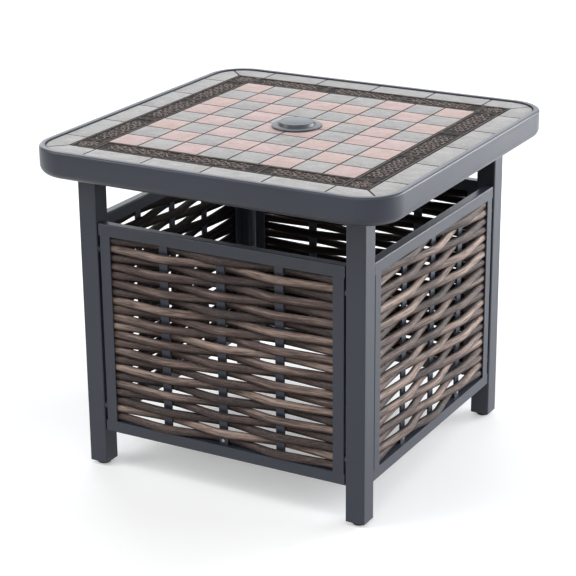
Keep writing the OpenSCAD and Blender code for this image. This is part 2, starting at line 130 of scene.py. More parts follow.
class Slot(Enum):
    """The record's material slots."""

    FRAME_METAL = "frame_metal"
    PLUG_PLASTIC = "plug_plastic"
    ZINC_STEEL = "zinc_steel"
    BLACK_PLASTIC = "black_plastic"
    FOAM = "foam"
    PAD_RUBBER = "pad_rubber"
    REED = "reed"
    LIGHT_TILE = "light_tile"
    GREY_TILE = "grey_tile"
    PINK_TILE = "pink_tile"
    DARK_TILE = "dark_tile"
    GROUT = "grout"
    CEMENT_BOARD = "cement_board"


Finishes = dict[Slot, bpy.types.Material]


# Colours and shaders


def linear(text: str) -> Colour:
    """Turns a six digit sRGB colour into linear light.

    Args:
        text: the colour as six hexadecimal digits.

    Returns:
        Red, green and blue between 0 and 1.
    """
    parts = [int(text[i : i + 2], 16) / 255 for i in (0, 2, 4)]
    return tuple(
        p / SRGB_SLOPE if p <= SRGB_KNEE else ((p + SRGB_LIFT) / (1 + SRGB_LIFT)) ** SRGB_POWER
        for p in parts
    )


def scaled(colour: Colour, factor: float) -> Colour:
    """A colour made paler or darker by a factor, up to 1 in each part."""
    return tuple(min(part * factor, 1.0) for part in colour)


@dataclass(frozen=True, kw_only=True)
class Grain:
    """A noise: its frequency, octaves, strength of the finer ones, and stretch in x, y and z."""

    scale: float = 1.0
    detail: float = 3.0
    rough: float = 0.6
    stretch: Point = (1, 1, 1)


@dataclass(frozen=True, kw_only=True)
class Layer(Grain):
    """A noise that changes a finish by up to most, as it goes from its value start to full."""

    most: float
    start: float
    full: float


class ShaderSheet:
    """One material's node tree, with short calls for the nodes that the finishes share."""

    def __init__(self, name: str) -> None:
        """Starts a material with a principled shader.

        Args:
            name: the material's name.
        """
        self.material = bpy.data.materials.new(name)
        self.material.use_nodes = True
        self.nodes = self.material.node_tree.nodes
        self.links = self.material.node_tree.links
        self.shader = next(n for n in self.nodes if n.type == "BSDF_PRINCIPLED")
        self.own_place: Socket | None = None

    def add(self, kind: str, settings: dict[str, Any] | None = None, **inputs: Any) -> bpy.types.Node:
        """Adds a node.

        Args:
            kind: the node's type name, such as ShaderNodeTexNoise.
            settings: the node's own properties.
            **inputs: input sockets by name, with spaces as underscores; a socket is linked and
                anything else is set.

        Returns:
            The node.
        """
        made = self.nodes.new(kind)
        for key, value in (settings or {}).items():
            setattr(made, key, value)
        for key, value in inputs.items():
            self.feed(made.inputs[key.replace("_", " ")], value)
        return made

    def feed(self, socket: Socket, value: Any) -> None:
        """Links a socket to another, or sets its value.

        Args:
            socket: the input.
            value: an output socket or a plain value.
        """
        if isinstance(value, Socket):
            self.links.new(value, socket)
        elif socket.type == "RGBA" and len(value) == 3:
            socket.default_value = (*value, 1)
        else:
            socket.default_value = value

    def place(self, stretch: Point = (1, 1, 1), where: Socket | None = None) -> Socket:
        """Coordinates for a pattern, stretched.

        Args:
            stretch: factors for x, y and z.
            where: the coordinates, or None for the piece's Object coordinates.

        Returns:
            The vector socket.
        """
        if where is None:
            self.own_place = self.own_place or self.add("ShaderNodeTexCoord").outputs["Object"]
            where = self.own_place
        return self.add("ShaderNodeMapping", Vector=where, Scale=stretch).outputs["Vector"]

    def height(self) -> Socket:
        """The height above the floor in metres."""
        return self.add("ShaderNodeSeparateXYZ", Vector=self.place()).outputs["Z"]

    def stored(self, name: str, output: str = "Fac") -> Socket:
        """A mesh attribute's socket."""
        return self.add("ShaderNodeAttribute", {"attribute_name": name}).outputs[output]

    def noise(self, grain: Grain, where: Socket | None = None) -> Socket:
        """Noise between 0 and 1.

        Args:
            grain: its settings.
            where: the coordinates, or None for the piece's Object coordinates.

        Returns:
            The factor socket.
        """
        made = self.add(
            "ShaderNodeTexNoise",
            Vector=self.place(grain.stretch, where),
            Scale=grain.scale,
            Detail=grain.detail,
            Roughness=grain.rough,
        )
        return made.outputs["Fac"]

    def ramp(self, factor: Socket, stops: Sequence[tuple[float, Colour]]) -> Socket:
        """A colour ramp.

        Args:
            factor: the driving socket.
            stops: position and colour of each stop.

        Returns:
            The colour socket.
        """
        made = self.add("ShaderNodeValToRGB", Fac=factor)
        band = made.color_ramp
        while len(band.elements) < len(stops):
            band.elements.new(0.5)
        for element, (position, colour) in zip(band.elements, stops):
            element.position = position
            element.color = (*colour, 1)
        return made.outputs["Color"]

    def levels(
        self, factor: Socket, low: float, high: float, start: float = 0.3, end: float = 0.7
    ) -> Socket:
        """Maps a factor from one range to another.

        Args:
            factor: the socket to map.
            low: result at start.
            high: result at end.
            start: input that gives low.
            end: input that gives high.

        Returns:
            The mapped socket.
        """
        made = self.add(
            "ShaderNodeMapRange", Value=factor, From_Min=start, From_Max=end, To_Min=low, To_Max=high
        )
        return made.outputs["Result"]

    def blend(self, factor: Socket, first: Any, second: Any) -> Socket:
        """Mixes two colours.

        Args:
            factor: share of the second.
            first: colour or socket.
            second: colour or socket.

        Returns:
            The mixed colour's socket.
        """
        made = self.add("ShaderNodeMix", {"data_type": "RGBA", "clamp_result": True}, Factor=factor)
        colours = [s for s in made.inputs if s.type == "RGBA"]
        self.feed(colours[0], first)
        self.feed(colours[1], second)
        return next(s for s in made.outputs if s.type == "RGBA")

    def lay(self, layer: Layer, noise: Socket, under: Any, over: Colour) -> Socket:
        """Lays one colour over another where a layer's noise is strong.

        Args:
            layer: how much it covers, and where.
            noise: the layer's noise.
            under: the colour or socket below.
            over: the colour on top.

        Returns:
            The mixed colour's socket.
        """
        return self.blend(self.levels(noise, 0.0, layer.most, layer.start, layer.full), under, over)

    def combined(self, operation: str, first: Any, second: Any) -> Socket:
        """Puts two values under a math operation.

        Args:
            operation: the math node's name for it.
            first: value or socket.
            second: value or socket.

        Returns:
            The result's socket.
        """
        made = self.add("ShaderNodeMath", {"operation": operation})
        self.feed(made.inputs[0], first)
        self.feed(made.inputs[1], second)
        return made.outputs[0]

    def plus(self, first: Any, second: Any) -> Socket:
        """The sum of two values."""
        return self.combined("ADD", first, second)

    def times(self, first: Any, second: Any) -> Socket:
        """The product of two values."""
        return self.combined("MULTIPLY", first, second)

    def relief(self, height: Socket, depth: float, strength: float) -> None:
        """Adds the bump.

        Args:
            height: the height socket.
            depth: height of a full step.
            strength: share of the bump that shows.
        """
        bump = self.add("ShaderNodeBump", Height=height, Distance=depth, Strength=strength)
        self.links.new(bump.outputs["Normal"], self.shader.inputs["Normal"])

    def surface(self, **inputs: Any) -> None:
        """Sets the principled shader's inputs by name, with spaces as underscores."""
        for key, value in inputs.items():
            self.feed(self.shader.inputs[key.replace("_", " ")], value)


# Finishes


@dataclass(frozen=True)
class PowderCoat:
    """Baked powder paint on metal: fine orange peel, a faint cloudiness and paler specks."""

    name: str = "slate_powder_coat"
    tone: Colour = (0.0392, 0.0462, 0.0665)
    roughness: float = 0.36
    speck_tone: Colour = (0.16, 0.17, 0.19)
    clouds: Grain = Grain(scale=9.0, detail=4.0, rough=0.5)
    specks: Layer = Layer(scale=2600.0, detail=1.0, rough=0.5, most=0.10, start=0.55, full=0.75)
    peel: Grain = Grain(scale=1100.0, detail=2.0)
    peel_depth: float = 0.06 * MM

    def build(self) -> bpy.types.Material:
        """Makes the material.

        Returns:
            The material, ready to put on a piece.
        """
        sheet = ShaderSheet(self.name)
        cloud = sheet.noise(self.clouds)
        colour = sheet.ramp(cloud, [(0.35, scaled(self.tone, 0.92)), (0.65, scaled(self.tone, 1.07))])
        colour = sheet.lay(self.specks, sheet.noise(self.specks), colour, self.speck_tone)
        gloss = sheet.levels(cloud, self.roughness - 0.03, self.roughness + 0.04)
        sheet.surface(Base_Color=colour, Roughness=gloss)
        sheet.relief(sheet.noise(self.peel), self.peel_depth, strength=0.35)
        return sheet.material


@dataclass(frozen=True)
class StoneTile:
    """A matt stone-look tile with its own shade, clouds, fine pores and brushed lines.

    Below its face, its flanks darken to a near-black brown.
    """

    name: str
    tones: tuple[Colour, Colour, Colour]
    roughness: float = 0.58
    film: Colour = (0.030, 0.021, 0.019)
    film_top: float = 502.75 * MM
    film_full: float = 502.45 * MM
    clouds: Layer = Layer(scale=46.0, detail=5.0, rough=0.62, most=0.42, start=0.46, full=0.70)
    drift: Layer = Layer(stretch=(60, 190, 190), detail=4.0, most=0.70, start=0.46, full=0.66)
    patches: Layer = Layer(scale=210.0, most=0.50, start=0.50, full=0.68)
    lines: Layer = Layer(stretch=(70, 900, 300), most=0.30, start=0.50, full=0.75)
    pores: Layer = Layer(scale=1100.0, detail=2.0, most=0.42, start=0.44, full=0.28)
    pore_depth: float = 0.16 * MM

    def build(self) -> bpy.types.Material:
        """Makes the material.

        Returns:
            The material, ready to put on a piece.
        """
        sheet = ShaderSheet(self.name)
        shades = [(k / 2, tone) for k, tone in enumerate(self.tones)]
        colour = sheet.ramp(sheet.stored("tile_shade"), shades)
        deep = scaled(self.tones[0], 0.74)
        pale = scaled(self.tones[2], 1.16)
        veils = {self.clouds: deep, self.drift: pale, self.patches: deep, self.lines: pale, self.pores: deep}
        noises = {layer: sheet.noise(layer) for layer in veils}
        for layer, tone in veils.items():
            colour = sheet.lay(layer, noises[layer], colour, tone)
        # Darker flanks below the face, down to the flank tone
        flank = sheet.levels(sheet.height(), 0.0, 1.0, self.film_top, self.film_full)
        colour = sheet.blend(flank, colour, self.film)
        gloss = sheet.levels(noises[self.clouds], self.roughness - 0.06, self.roughness + 0.08)
        sheet.surface(Base_Color=colour, Roughness=gloss)
        sheet.relief(sheet.times(noises[self.lines], noises[self.pores]), self.pore_depth, strength=0.55)
        return sheet.material


@dataclass(frozen=True)
class CarvedStone:
    """The dark relief tiles: the ornament is rubbed paler, and the hollows keep the dark stain."""

    name: str
    deep: Colour
    raised: Colour
    low: float = 502.0 * MM
    high: float = 502.9 * MM
    sheen: float = 0.12
    wear: Grain = Grain(scale=120.0, detail=4.0)
    pits: Layer = Layer(scale=700.0, most=0.50, start=0.50, full=0.70)
    pit_depth: float = 0.30 * MM

    def build(self) -> bpy.types.Material:
        """Makes the material.

        Returns:
            The material, ready to put on a piece.
        """
        sheet = ShaderSheet(self.name)
        pits = sheet.noise(self.pits)
        wear = sheet.levels(sheet.noise(self.wear), 0.30, 1.0)
        share = sheet.times(wear, sheet.stored("relief_share"))
        raised = sheet.levels(sheet.height(), 0.0, 1.0, self.low, self.high)
        colour = sheet.blend(sheet.times(raised, share), self.deep, self.raised)
        colour = sheet.lay(self.pits, pits, colour, scaled(self.deep, 0.4))
        gloss = sheet.levels(pits, 0.50, 0.70)
        sheet.surface(Base_Color=colour, Roughness=gloss, Specular_IOR_Level=self.sheen)
        sheet.relief(pits, self.pit_depth, strength=0.8)
        return sheet.material


@dataclass(frozen=True)
class ReedBark:
    """Woven reed: streaks along it, a tone of its own for each reed, and painted shade, dark and with little
    sheen, on its inner, lower and upper sides and where it runs behind a stake.

    The noises run along the reed. The two broad ones lighten and darken its tone, the fine ones
    lay dark and pale streaks over it.
    """

    name: str = "reed_bark"
    dark: Colour = (0.026, 0.0155, 0.0150)
    mid: Colour = (0.127, 0.0815, 0.0715)
    tan: Colour = (0.545, 0.400, 0.332)
    broad: Layer = Layer(stretch=(9.0, 0.6, 0.6), rough=0.5, most=0.20, start=0.30, full=0.70)
    strand: Layer = Layer(stretch=(17.0, 1.7, 1.7), rough=0.55, most=0.24, start=0.34, full=0.66)
    fine: Layer = Layer(
        stretch=(34.0, 4.4, 4.4), detail=4.0, rough=0.62, most=0.88, start=0.49, full=0.66
    )
    hair: Layer = Layer(stretch=(80.0, 12.0, 12.0), most=0.40, start=0.54, full=0.72)
    ridge_depth: float = 0.9 * MM

    def build(self) -> bpy.types.Material:
        """Makes the material.

        Returns:
            The material, ready to put on a piece.
        """
        sheet = ShaderSheet(self.name)
        along = sheet.stored("reed_run", "Vector")
        hidden = sheet.stored("reed_hidden")
        broad, strand, fine, hair = (
            sheet.noise(layer, along) for layer in (self.broad, self.strand, self.fine, self.hair)
        )
        tone = sheet.stored("reed_tone")
        for layer, noise in ((self.broad, broad), (self.strand, strand)):
            tone = sheet.plus(tone, sheet.levels(noise, -layer.most, layer.most, layer.start, layer.full))
        colour = sheet.ramp(tone, [(0.0, self.dark), (0.5, self.mid), (1.0, self.tan)])
        colour = sheet.lay(self.fine, fine, colour, scaled(self.mid, 0.30))
        colour = sheet.lay(self.hair, hair, colour, scaled(self.tan, 1.15))
        # Painted shade: the stored shade share turns the colour to near black and lowers the specular level
        colour = sheet.blend(hidden, colour, scaled(self.dark, 0.15))
        sheen = sheet.levels(hidden, 0.40, 0.08, 0.2, 0.9)
        gloss = sheet.levels(fine, 0.46, 0.64)
        sheet.surface(Base_Color=colour, Roughness=gloss, Specular_IOR_Level=sheen)
        ridges = sheet.plus(sheet.plus(strand, fine), sheet.times(hair, 0.5))
        sheet.relief(ridges, self.ridge_depth, strength=0.7)
        return sheet.material


@dataclass(frozen=True)
class PlainFinish:
    """Plastic, rubber, zinc, foam, board, grout or paper: one tone with grain and a mottled gloss."""

    name: str
    tone: Colour
    roughness: float = 0.5
    metallic: float = 0.0
    grain: float = 900.0
    depth: float = 0.08 * MM
    mottle: float = 0.12
    glow: float = 0.0

    def build(self) -> bpy.types.Material:
        """Makes the material.

        Returns:
            The material, ready to put on a piece.
        """
        sheet = ShaderSheet(self.name)
        cloud = sheet.noise(Grain(scale=60.0, detail=4.0))
        grain = sheet.noise(Grain(scale=self.grain))
        dark = scaled(self.tone, 1 - self.mottle)
        light = scaled(self.tone, 1 + self.mottle)
        sheet.surface(
            Base_Color=sheet.ramp(cloud, [(0.3, dark), (0.7, light)]),
            Roughness=sheet.levels(grain, self.roughness - 0.06, self.roughness + 0.06),
            Metallic=self.metallic,
            Emission_Color=(1, 1, 1),
            Emission_Strength=self.glow,
        )
        sheet.relief(grain, self.depth, strength=0.6)
        return sheet.material


def all_finishes() -> Finishes:
    """Makes every finish of the record.

    Returns:
        Materials by slot.
    """
    border = (linear("a6a3a1"), linear("aba8a7"), linear("afacab"))
    grey = (linear("9f9c9b"), linear("a5a2a0"), linear("ada9a7"))
    pink = (linear("c4a99f"), linear("c1a6a2"), linear("c5abaa"))
    grout = linear("2e2726")
    board = linear("8f8d88")
    makers = {
        Slot.FRAME_METAL: PowderCoat(),
        Slot.PLUG_PLASTIC: PowderCoat("slate_satin_plastic", (0.047, 0.053, 0.066)),
        Slot.ZINC_STEEL: PlainFinish(
            "zinc_plating", (0.36, 0.37, 0.38), 0.38, metallic=1.0, grain=700.0, depth=0.04 * MM
        ),
        Slot.BLACK_PLASTIC: PlainFinish("black_plastic", (0.012, 0.012, 0.014), 0.45),
        Slot.FOAM: PlainFinish("foam_strip", (0.015, 0.015, 0.016), 0.9, grain=500.0, depth=0.4 * MM),
        Slot.PAD_RUBBER: PlainFinish(
            "pad_rubber", (0.010, 0.010, 0.011), 0.6, grain=800.0, depth=0.1 * MM
        ),
        Slot.REED: ReedBark(),
        Slot.LIGHT_TILE: StoneTile("pale_stone_tile", border),
        Slot.GREY_TILE: StoneTile("grey_stone_tile", grey),
        Slot.PINK_TILE: StoneTile("pink_stone_tile", pink),
        Slot.DARK_TILE: CarvedStone("dark_relief_stone", linear("191312"), linear("a0918a")),
        Slot.GROUT: PlainFinish("dark_grout", grout, 0.9, grain=1300.0, depth=0.3 * MM, mottle=0.2),
        Slot.CEMENT_BOARD: PlainFinish(
            "cement_board", board, 0.9, grain=700.0, depth=0.3 * MM, mottle=0.15
        ),
    }
    return {slot: maker.build() for slot, maker in makers.items()}


# Modelling bench


def clear_selection() -> None:
    """Deselects every object."""
    bpy.ops.object.select_all(action="DESELECT")


def pick(*pieces: Piece) -> None:
    """Selects some objects alone and makes the first one active.

    Args:
        *pieces: the objects.
    """
    clear_selection()
    for piece in pieces:
        piece.select_set(True)
    bpy.context.view_layer.objects.active = pieces[0]


@contextmanager
def editing(piece: Piece, element: Element = Element.VERT) -> Iterator[None]:
    """Edits one mesh, with nothing selected in it at first.

    Args:
        piece: the mesh object.
        element: what is selected.

    Yields:
        Nothing; the mesh is in edit mode inside the block.
    """
    pick(piece)
    bpy.ops.object.mode_set(mode="EDIT")
    bpy.ops.mesh.select_mode(type=element.name)
    bpy.ops.mesh.select_all(action="DESELECT")
    yield
    bpy.ops.object.mode_set(mode="OBJECT")


def choose(piece: Piece, element: Element, test: Callable[[Any], bool]) -> None:
    """Selects the elements of the mesh being edited that pass a test.

    Args:
        piece: the mesh object in edit mode.
        element: what is selected.
        test: says whether an element is chosen.
    """
    mesh = bmesh.from_edit_mesh(piece.data)
    mesh.normal_update()
    for found in getattr(mesh, element.value):
        if test(found):
            found.select_set(True)
    bmesh.update_edit_mesh(piece.data)


def moved(piece: Piece, matrix: Matrix) -> Piece:
    """Moves a mesh's vertices and leaves its object at the origin.

    Args:
        piece: the mesh object.
        matrix: the transform.

    Returns:
        The same object.
    """
    piece.data.transform(matrix)
    piece.data.update()
    return piece


def twin(piece: Piece, name: str, matrix: Matrix | None = None) -> Piece:
    """Copies a piece with a mesh of its own.

    Args:
        piece: the piece to copy.
        name: the copy's name.
        matrix: a transform for its vertices.

    Returns:
        The copy.
    """
    copy = bpy.data.objects.new(name, piece.data.copy())
    bpy.context.scene.collection.objects.link(copy)
    return moved(copy, matrix or Matrix.Identity(4))


def settle(piece: Piece) -> None:
    """Applies a piece's place, so that its object is at the origin, unturned and unscaled."""
    pick(piece)
    bpy.ops.object.transform_apply(location=True, rotation=True, scale=True)


def join(pieces: Sequence[Piece], name: str, smooth_deg: float) -> Piece:
    """Joins pieces into one mesh and sets its shading.

    Args:
        pieces: the pieces; the first one stays.
        name: the joined piece's name.
        smooth_deg: angle up to which edges are smooth.

    Returns:
        The joined piece.
    """
    pick(*pieces)
    bpy.ops.object.join()
    whole = pieces[0]
    whole.name = name
    whole.data.name = name
    bpy.ops.object.shade_smooth_by_angle(angle=math.radians(smooth_deg))
    return whole


def outward(piece: Piece, smooth_deg: float = 30.0) -> None:
    """Merges doubles, turns the faces outwards and sets the shading.

    Args:
        piece: the mesh object.
        smooth_deg: angle up to which edges are smooth.
    """
    with editing(piece):
        bpy.ops.mesh.select_all(action="SELECT")
        bpy.ops.mesh.remove_doubles(threshold=TOUCH)
        bpy.ops.mesh.normals_make_consistent(inside=False)
    pick(piece)
    bpy.ops.object.shade_smooth_by_angle(angle=math.radians(smooth_deg))


def clean_copy(solid: Piece, name: str, flat_deg: float = 0.6) -> Piece:
    """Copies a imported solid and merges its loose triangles.

    Args:
        solid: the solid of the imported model.
        name: the copy's name.
        flat_deg: angle up to which neighbouring faces become one.

    Returns:
        The copy, merged, with flat faces whole.
    """
    copy = twin(solid, name)
    copy.data.materials.clear()
    with editing(copy):
        bpy.ops.mesh.select_all(action="SELECT")
        bpy.ops.mesh.remove_doubles(threshold=TOUCH)
        bpy.ops.mesh.dissolve_limited(angle_limit=math.radians(flat_deg))
    return copy


def rub_edges(tiles: Piece, top: float, width: float, steps: int) -> None:
    """Rounds the edges that lie at a height.

    Args:
        tiles: the tiles in one mesh.
        top: the height of the edges.
        width: how far the rounding reaches.
        steps: pieces in the rounding.
    """
    with editing(tiles, Element.EDGE):
        choose(tiles, Element.EDGE, lambda e: all(abs(v.co.z - top) < TOUCH for v in e.verts))
        bpy.ops.mesh.bevel(offset=width, segments=steps, affect="EDGES", clamp_overlap=True)


def drawn(name: str, points: Sequence[Point], closed: bool) -> Piece:
    """Draws a chain of edges by extruding one vertex from point to point.

    Args:
        name: the new object's name.
        points: the chain's points.
        closed: whether the last point joins the first.

    Returns:
        The wire object.
    """
    clear_selection()
    bpy.ops.mesh.primitive_plane_add(size=MM, location=points[0])
    wire = bpy.context.object
    wire.name = name
    settle(wire)
    with editing(wire):
        bpy.ops.mesh.select_all(action="SELECT")
        bpy.ops.mesh.merge(type="CENTER")
        for before, after in zip(points, points[1:]):
            step = tuple(b - a for a, b in zip(before, after))
            bpy.ops.mesh.extrude_vertices_move(TRANSFORM_OT_translate={"value": step})
        if closed:
            bpy.ops.mesh.select_all(action="DESELECT")
            ends = (Vector(points[0]), Vector(points[-1]))
            choose(wire, Element.VERT, lambda v: min((v.co - end).length for end in ends) < TOUCH)
            bpy.ops.mesh.edge_face_add()
    return wire


def lathe(name: str, section: Sequence[Plan], steps: int) -> Piece:
    """Spins a section about the Z axis.

    Args:
        name: the new object's name.
        section: radius and height of each point, from pole to pole.
        steps: pieces round the axis.

    Returns:
        The turned piece, closed and facing outwards.
    """
    turned_piece = drawn(name, [(r, 0.0, z) for r, z in section], closed=False)
    with editing(turned_piece):
        bpy.ops.mesh.select_all(action="SELECT")
        bpy.ops.mesh.spin(steps=steps, angle=math.tau, center=(0, 0, 0), axis=(0, 0, 1))
    outward(turned_piece)
    return turned_piece


def arc(centre: Plan, radius: float, start: float, end: float, steps: int) -> list[Plan]:
    """Points on an arc in a section.

    Args:
        centre: its centre.
        radius: its radius.
        start: first angle in degrees.
        end: last angle in degrees.
        steps: number of straight pieces.

    Returns:
        The points, both ends included.
    """
    angles = [math.radians(start + (end - start) * i / steps) for i in range(steps + 1)]
    return [(centre[0] + radius * math.cos(a), centre[1] + radius * math.sin(a)) for a in angles]


def oval(centre: Plan, half_u: float, half_v: float, steps: int) -> Line:
    """A closed line round an ellipse with the half lengths half_u and half_v."""
    angles = [math.tau * i / steps for i in range(steps)]
    return [(centre[0] + half_u * math.cos(a), centre[1] + half_v * math.sin(a)) for a in angles], True


def spiral(
    centre: Plan, radius: float, start: float, turns: float, steps: int, eye: float = 0.9
) -> Line:
    """An open line that winds inwards.

    Args:
        centre: its centre in millimetres.
        radius: how far outside its eye it starts.
        start: the angle where it starts, in degrees.
        turns: how many turns it makes, below zero for clockwise.
        steps: number of straight pieces.
        eye: the radius where it ends.

    Returns:
        The line, from the outside in.
    """
    points = []
    for i in range(steps + 1):
        share = i / steps
        reach = radius * (1 - share) ** 0.8 + eye
        angle = math.radians(start) + share * turns * math.tau
        points.append((centre[0] + reach * math.cos(angle), centre[1] + reach * math.sin(angle)))
    return points, False


def turned(line: Line, degrees: float) -> Line:
    """A line turned about the tile's centre."""
    cos, sin = math.cos(math.radians(degrees)), math.sin(math.radians(degrees))
    return [(u * cos - v * sin, u * sin + v * cos) for u, v in line[0]], line[1]


def shifted(line: Line, along: float, hand: int) -> Line:
    """A line moved along its tile, and mirrored across it where hand is -1."""
    return [(u + along, v * hand) for u, v in line[0]], line[1]


def loose_parts(piece: Piece) -> list[tuple[list[int], Vector]]:
    """Finds the loose parts of a mesh.

    Args:
        piece: the mesh object.

    Returns:
        For each part, the numbers of its vertices and the centre of its box.
    """
    mesh = bmesh.new()
    mesh.from_mesh(piece.data)
    parts = []
    seen: set[int] = set()
    for vert in mesh.verts:
        if vert.index in seen:
            continue
        stack, part = [vert], []
        seen.add(vert.index)
        while stack:
            here = stack.pop()
            part.append(here)
            for edge in here.link_edges:
                other = edge.other_vert(here)
                if other.index not in seen:
                    seen.add(other.index)
                    stack.append(other)
        low = Vector([min(v.co[i] for v in part) for i in range(3)])
        high = Vector([max(v.co[i] for v in part) for i in range(3)])
        parts.append(([v.index for v in part], (low + high) / 2))
    mesh.free()
    return parts


def store(piece: Piece, name: str, values: Sequence[float]) -> None:
    """Stores a number, or the three of a vector, on each vertex of a mesh.

    Args:
        piece: the mesh object.
        name: the attribute's name.
        values: one number or three for each vertex, in order.
    """
    vector = len(values) > len(piece.data.vertices)
    kind, key = ("FLOAT_VECTOR", "vector") if vector else ("FLOAT", "value")
    piece.data.attributes.new(name, kind, "POINT").data.foreach_set(key, values)


def dress(piece: Piece, material: bpy.types.Material) -> None:
    """Gives a piece one material."""
    piece.data.materials.clear()
    piece.data.materials.append(material)


def stand_in(piece: Piece, node: str, slot: Slot, finishes: Finishes, body: str = "table") -> None:
    """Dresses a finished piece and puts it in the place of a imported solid.

    Args:
        piece: the detailed piece.
        node: the solid's node.
        slot: the finish's slot.
        finishes: materials by slot.
        body: the body that the piece rides on.
    """
    dress(piece, finishes[slot])
    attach(piece, body)
    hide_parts(node)
    LOG.info("%s: %d faces", piece.name, len(piece.data.polygons))


# Studio

COOL = (0.92, 0.96, 1.0)
SOFT_BLUE = (0.95, 0.98, 1.0)


@dataclass(frozen=True)
class SoftBox:
    """A rectangular studio light: where it stands, its size, its watts, its tint and its aim."""

    name: str
    spot: Point
    size: Plan
    watts: float
    tint: Colour = (1.0, 1.0, 1.0)
    aim: Point = (0.0, 0.0, 0.28)

    def build(self) -> None:
        """Adds the light, turned to the point that it faces."""
        data = bpy.data.lights.new(self.name, "AREA")
        data.shape = "RECTANGLE"
        data.size, data.size_y = self.size
        data.energy = self.watts
        data.color = self.tint
        lamp = bpy.data.objects.new(self.name, data)
        lamp.location = self.spot
        facing = Vector(self.aim) - Vector(self.spot)
        lamp.rotation_euler = facing.to_track_quat("-Z", "Y").to_euler()
        bpy.context.scene.collection.objects.link(lamp)


@dataclass
class Studio:
    """Camera, soft lights, a pale floor and a pale round backdrop."""

    azimuth: float = 29.306
    elevation: float = 19.939
    roll: float = -0.511
    eye: Point = (1.29449, -2.33651, 1.21721)
    lens: float = 116.354
    sensor: float = 36.0
    far: float = 60.0
    paper_tone: Colour = (0.80, 0.80, 0.805)
    floor_half: float = 14.0
    floor_glow: float = 0.33
    wall_radius: float = 9.0
    wall_height: float = 7.0
    wall_glow: float = 0.55
    wall_sides: int = 96
    world_tone: Colour = (0.92, 0.95, 1.0)
    world_strength: float = 0.01
    soft_boxes: tuple[SoftBox, ...] = (
        SoftBox("back_high", (-1.3, 1.9, 2.5), (2.6, 1.5), 34.0, COOL),
        SoftBox("crown_strip", (0.35, -1.05, 2.6), (2.6, 0.6), 22.0),
        SoftBox("left_front_high", (-2.6, -2.2, 2.6), (2.2, 2.0), 68.0),
        SoftBox("right_back_box", (3.1, 2.0, 1.2), (2.4, 2.2), 86.0, SOFT_BLUE),
        SoftBox("floor_wash", (1.6, 2.4, 1.0), (1.2, 1.2), 42.0, SOFT_BLUE, aim=(0.9, 1.4, 0.0)),
        SoftBox("front_wash", (0.9, -2.7, 1.4), (1.8, 1.0), 18.0, aim=(0.85, -1.75, 0.0)),
        SoftBox("right_high", (3.2, -0.6, 2.4), (2.2, 2.2), 20.0),
        SoftBox("back_low", (-2.2, 3.7, 1.1), (4.6, 2.1), 44.0, COOL),
        SoftBox("back_mid", (0.5, 3.5, 2.3), (3.0, 1.2), 8.0, COOL),
        SoftBox("left_back_low", (-3.8, 2.6, 0.9), (2.2, 1.8), 24.0),
    )

    def camera(self) -> None:
        """Puts the camera at the photograph's viewpoint."""
        turn, lift, roll = (math.radians(v) for v in (self.azimuth, self.elevation, self.roll))
        back = Vector((math.sin(turn) * math.cos(lift), -math.cos(turn) * math.cos(lift), math.sin(lift)))
        right = Vector((math.cos(turn), math.sin(turn), 0.0))
        up = back.cross(right)
        rolled_right = right * math.cos(roll) + up * math.sin(roll)
        rolled_up = up * math.cos(roll) - right * math.sin(roll)
        data = bpy.data.cameras.new("camera")
        data.lens = self.lens
        data.sensor_width = self.sensor
        data.clip_end = self.far
        camera = bpy.data.objects.new("camera", data)
        columns = Matrix((rolled_right, rolled_up, back)).transposed().to_4x4()
        camera.matrix_world = Matrix.Translation(self.eye) @ columns
        bpy.context.scene.collection.objects.link(camera)
        bpy.context.scene.camera = camera

    def air(self) -> None:
        """Fills the studio with a trace of even light."""
        world = bpy.data.worlds.new("studio_air")
        world.use_nodes = True
        glow = world.node_tree.nodes["Background"]
        glow.inputs["Color"].default_value = (*self.world_tone, 1)
        glow.inputs["Strength"].default_value = self.world_strength
        bpy.context.scene.world = world
        bpy.context.scene.view_settings.view_transform = "Standard"

    def paper(self, name: str, roughness: float, glow: float) -> Piece:
        """Makes the new active mesh a stage of pale paper, which lights nothing by diffuse bounce.

        Args:
            name: its name.
            roughness: the paper's roughness.
            glow: the light that it gives off by itself.

        Returns:
            The stage.
        """
        stage = bpy.context.object
        stage.name = name
        settle(stage)
        paper = PlainFinish(
            name, self.paper_tone, roughness, grain=300.0, depth=0.02 * MM, mottle=0.004, glow=glow
        )
        dress(stage, paper.build())
        stage.visible_diffuse = False
        return stage

    def floor(self) -> None:
        """Lays the pale floor."""
        clear_selection()
        bpy.ops.mesh.primitive_plane_add(size=2 * self.floor_half, location=(0, 0, 0))
        self.paper("studio_floor", 0.8, self.floor_glow)

    def backdrop(self) -> None:
        """Stands a pale round wall behind everything, which casts no shadow."""
        clear_selection()
        bpy.ops.mesh.primitive_cylinder_add(
            vertices=self.wall_sides,
            radius=self.wall_radius,
            depth=self.wall_height,
            end_fill_type="NOTHING",
            location=(0, 0, self.wall_height / 2),
        )
        self.paper("studio_backdrop", 0.9, self.wall_glow).visible_shadow = False

    def build(self) -> None:
        """Sets up the camera, the lights, the world, the floor and the backdrop."""
        self.camera()
        for box in self.soft_boxes:
            box.build()
        self.air()
        self.floor()
        self.backdrop()


# The table's sub-assemblies


@dataclass
class CarriedParts:
    """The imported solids, of which most keep their own shape and only need a finish."""

    frame: Frame

    def build(self, finishes: Finishes) -> None:
        """Puts a finish on every solid.

        Args:
            finishes: materials by slot.
        """
        slots = {part["node"]: Slot(part["material_slot"]) for part in self.frame["record"]["subparts"]}
        for node, solid in self.frame["nodes"].items():
            finish = finishes[slots[node]]
            if not solid.material_slots:
                solid.data.materials.append(finish)
            for place in solid.material_slots:
                place.material = finish
            LOG.info("%s: finished in %s", node, finish.name)


